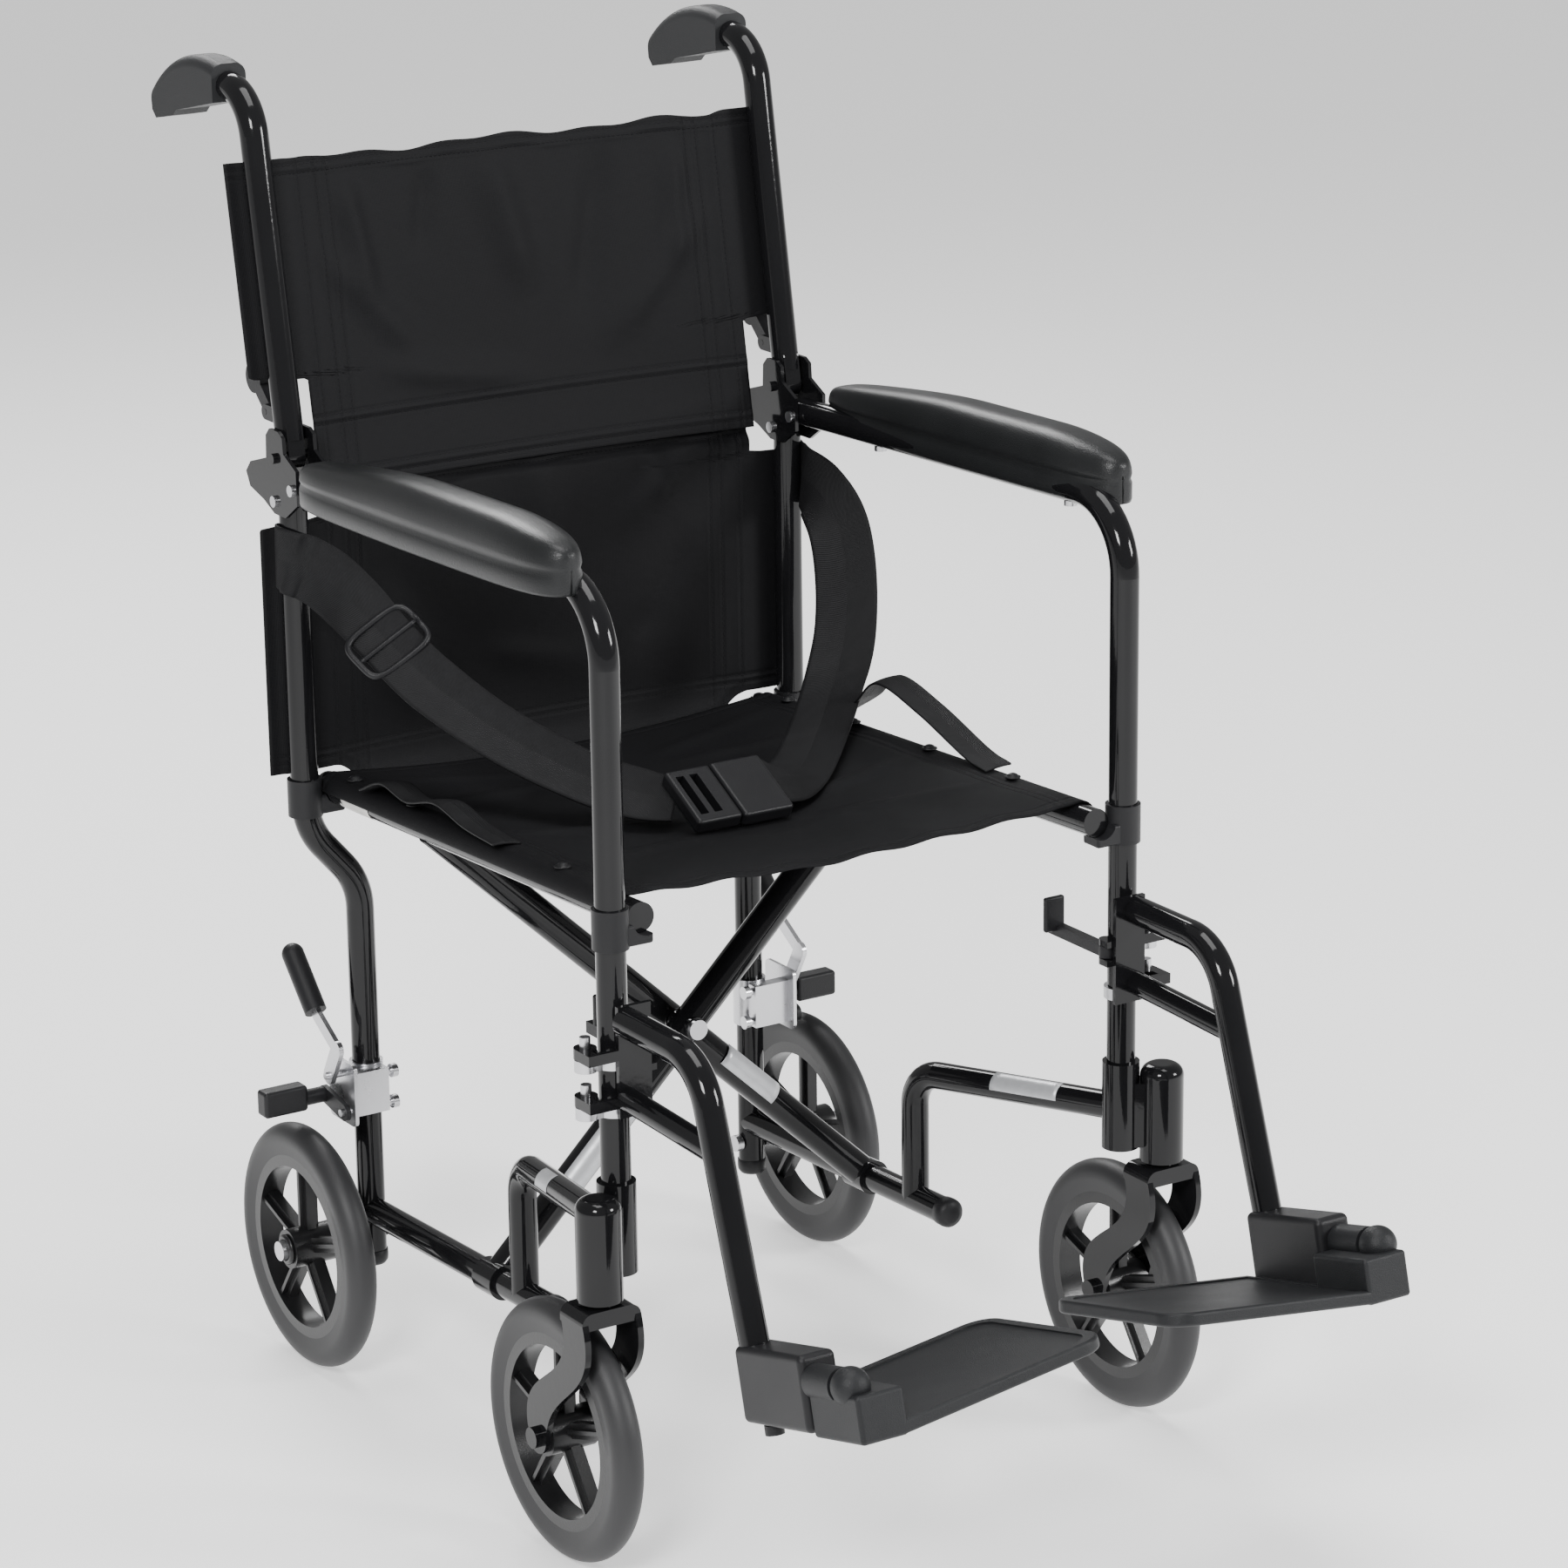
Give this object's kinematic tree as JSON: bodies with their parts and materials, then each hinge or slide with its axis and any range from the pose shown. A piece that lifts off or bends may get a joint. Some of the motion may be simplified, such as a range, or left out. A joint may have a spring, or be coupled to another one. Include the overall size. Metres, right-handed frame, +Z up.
{
  "type": "transport wheelchair",
  "caption": "Folding transport wheelchair with small wheels, armrests, fold-down back, lap belt and swing-away footrests.",
  "frame": {"origin": "on the floor, under the middle of the chair overall", "axes": "+Z up; the chair faces -Y; +X to the occupant's left"},
  "size_m": [0.559, 0.9969, 1.0379],
  "materials": {
    "black_enamel": "gloss",
    "moulded_plastic": "fine grain",
    "footplate_plastic": "ribbed",
    "rim": "semi-gloss",
    "tyre": "matte",
    "zinc": "zinc plated",
    "nylon": "woven nylon",
    "webbing": "woven webbing"
  },
  "bodies": {
    "right_frame": {"right_front_frame_tube": "black_enamel", "right_rear_post": "black_enamel", "right_lower_rail": "black_enamel", "right_caster_housing": "black_enamel", "right_rail_saddles": "moulded_plastic", "right_armrest_pad": "moulded_plastic", "right_hinge_bracket": "black_enamel", "right_lock_bracket": "zinc", "right_frame_fasteners": "zinc", "back_panel_lower": "nylon", "right_belt_strap": "webbing"},
    "left_frame": {"left_front_frame_tube": "black_enamel", "left_rear_post": "black_enamel", "left_lower_rail": "black_enamel", "left_caster_housing": "black_enamel", "left_rail_saddles": "moulded_plastic", "left_armrest_pad": "moulded_plastic", "left_hinge_bracket": "black_enamel", "left_lock_bracket": "zinc", "left_frame_fasteners": "zinc", "left_belt_strap": "webbing"},
    "buckle_tongue": {"buckle_tongue": "moulded_plastic"},
    "brace_a": {"brace_arm_a": "black_enamel", "left_seat_rail": "black_enamel", "brace_bolt": "zinc", "seat_sling": "nylon", "buckle_socket": "moulded_plastic"},
    "brace_b": {"brace_arm_b": "black_enamel", "right_seat_rail": "black_enamel"},
    "right_back": {"right_back_cane": "black_enamel", "right_push_grip": "moulded_plastic", "back_panel_upper": "nylon"},
    "right_release_lever": {"right_back_release_lever": "moulded_plastic"},
    "right_caster": {"right_caster_fork": "black_enamel"},
    "right_front_wheel": {"right_front_tyre": "tyre", "right_front_rim": "rim"},
    "right_rear_wheel": {"right_rear_tyre": "tyre", "right_rear_rim": "rim"},
    "right_lock_lever": {"right_lock_lever": "zinc", "right_lock_grip": "moulded_plastic"},
    "right_lock_shoe": {"right_lock_shoe": "zinc"},
    "right_hanger": {"right_footrest_hanger": "black_enamel", "right_footplate_block": "moulded_plastic"},
    "right_hanger_latch": {"right_hanger_latch": "moulded_plastic"},
    "right_footplate": {"right_footplate": "footplate_plastic"},
    "left_back": {"left_back_cane": "black_enamel", "left_push_grip": "moulded_plastic"},
    "left_release_lever": {"left_back_release_lever": "moulded_plastic"},
    "left_caster": {"left_caster_fork": "black_enamel"},
    "left_front_wheel": {"left_front_tyre": "tyre", "left_front_rim": "rim"},
    "left_rear_wheel": {"left_rear_tyre": "tyre", "left_rear_rim": "rim"},
    "left_lock_lever": {"left_lock_lever": "zinc", "left_lock_grip": "moulded_plastic"},
    "left_lock_shoe": {"left_lock_shoe": "zinc"},
    "left_hanger": {"left_footrest_hanger": "black_enamel", "left_footplate_block": "moulded_plastic"},
    "left_hanger_latch": {"left_hanger_latch": "moulded_plastic"},
    "left_footplate": {"left_footplate": "footplate_plastic"}
  },
  "joints": [
    {"name": "fold", "type": "hinge", "parent": "right_frame", "child": "brace_a", "pos_m": [-0.18, 0.123, 0.126], "axis": [0, -0.999, 0.0436], "range_deg": [0, 9.5], "deforming": ["seat_sling", "back_panel_lower", "back_panel_upper", "right_belt_strap", "left_belt_strap"]},
    {"name": "brace_cross", "type": "hinge", "parent": "brace_a", "child": "brace_b", "pos_m": [0, 0.13042, 0.29586], "axis": [0, -0.999, 0.0436], "range_deg": [-19, 0]},
    {"name": "left_frame_carry", "type": "hinge", "parent": "brace_b", "child": "left_frame", "pos_m": [0.18, 0.123, 0.126], "axis": [0, -0.999, 0.0436], "range_deg": [0, 9.5]},
    {"name": "buckle_release", "type": "slide", "parent": "brace_a", "child": "buckle_tongue", "axis": [-1, 0, 0], "range_m": [0, 0.03]},
    {"name": "right_back_fold", "type": "hinge", "parent": "right_frame", "child": "right_back", "pos_m": [-0.224, 0.311, 0.745], "axis": [-1, 0, 0], "range_deg": [0, 100]},
    {"name": "right_release_press", "type": "hinge", "parent": "right_back", "child": "right_release_lever", "pos_m": [-0.224, 0.336, 0.776], "axis": [-1, 0, 0], "range_deg": [0, 20]},
    {"name": "right_caster_swivel", "type": "hinge", "parent": "right_frame", "child": "right_caster", "pos_m": [-0.25, -0.174, 0.25], "axis": [0, 0, 1], "continuous": true},
    {"name": "right_front_wheel_spin", "type": "hinge", "parent": "right_caster", "child": "right_front_wheel", "pos_m": [-0.25, -0.119, 0.1], "axis": [1, 0, 0], "continuous": true},
    {"name": "right_rear_wheel_spin", "type": "hinge", "parent": "right_frame", "child": "right_rear_wheel", "pos_m": [-0.237, 0.313, 0.1], "axis": [1, 0, 0], "continuous": true},
    {"name": "right_lock_throw", "type": "hinge", "parent": "right_frame", "child": "right_lock_lever", "pos_m": [-0.2165, 0.305, 0.242], "axis": [1, 0, 0], "range_deg": [0, 50]},
    {"name": "right_lock_shoe_press", "type": "hinge", "parent": "right_frame", "child": "right_lock_shoe", "pos_m": [-0.2115, 0.291, 0.214], "axis": [1, 0, 0], "range_deg": [-17.5, 0]},
    {"name": "right_hanger_swing", "type": "hinge", "parent": "right_frame", "child": "right_hanger", "pos_m": [-0.247, -0.156, 0.388], "axis": [0, 0, -1], "range_deg": [0, 90]},
    {"name": "right_latch_press", "type": "hinge", "parent": "right_hanger", "child": "right_hanger_latch", "pos_m": [-0.204, -0.1641, 0.396], "axis": [0, 0, -1], "range_deg": [0, 12]},
    {"name": "right_footplate_flip", "type": "hinge", "parent": "right_hanger", "child": "right_footplate", "pos_m": [-0.227, -0.3481, 0.222], "axis": [0, -0.9681, 0.2504], "range_deg": [0, 85]},
    {"name": "left_back_fold", "type": "hinge", "parent": "left_frame", "child": "left_back", "pos_m": [0.224, 0.311, 0.745], "axis": [-1, 0, 0], "range_deg": [0, 100]},
    {"name": "left_release_press", "type": "hinge", "parent": "left_back", "child": "left_release_lever", "pos_m": [0.224, 0.336, 0.776], "axis": [-1, 0, 0], "range_deg": [0, 20]},
    {"name": "left_caster_swivel", "type": "hinge", "parent": "left_frame", "child": "left_caster", "pos_m": [0.25, -0.174, 0.25], "axis": [0, 0, 1], "continuous": true},
    {"name": "left_front_wheel_spin", "type": "hinge", "parent": "left_caster", "child": "left_front_wheel", "pos_m": [0.25, -0.119, 0.1], "axis": [1, 0, 0], "continuous": true},
    {"name": "left_rear_wheel_spin", "type": "hinge", "parent": "left_frame", "child": "left_rear_wheel", "pos_m": [0.237, 0.313, 0.1], "axis": [1, 0, 0], "continuous": true},
    {"name": "left_lock_throw", "type": "hinge", "parent": "left_frame", "child": "left_lock_lever", "pos_m": [0.2165, 0.305, 0.242], "axis": [1, 0, 0], "range_deg": [0, 50]},
    {"name": "left_lock_shoe_press", "type": "hinge", "parent": "left_frame", "child": "left_lock_shoe", "pos_m": [0.2115, 0.291, 0.214], "axis": [1, 0, 0], "range_deg": [-17.5, 0]},
    {"name": "left_hanger_swing", "type": "hinge", "parent": "left_frame", "child": "left_hanger", "pos_m": [0.247, -0.156, 0.388], "axis": [0, 0, 1], "range_deg": [0, 90]},
    {"name": "left_latch_press", "type": "hinge", "parent": "left_hanger", "child": "left_hanger_latch", "pos_m": [0.204, -0.1641, 0.396], "axis": [0, 0, 1], "range_deg": [0, 12]},
    {"name": "left_footplate_flip", "type": "hinge", "parent": "left_hanger", "child": "left_footplate", "pos_m": [0.227, -0.3481, 0.222], "axis": [0, 0.9681, -0.2504], "range_deg": [0, 85]}
  ],
  "couplings": [
    {"joint": "brace_cross", "follows": "fold", "ratio": -2},
    {"joint": "left_frame_carry", "follows": "fold", "ratio": 1},
    {"joint": "right_lock_shoe_press", "follows": "right_lock_throw", "ratio": -0.35},
    {"joint": "left_lock_shoe_press", "follows": "left_lock_throw", "ratio": -0.35},
    {"joint": "left_back_fold", "follows": "right_back_fold", "ratio": 1}
  ]
}
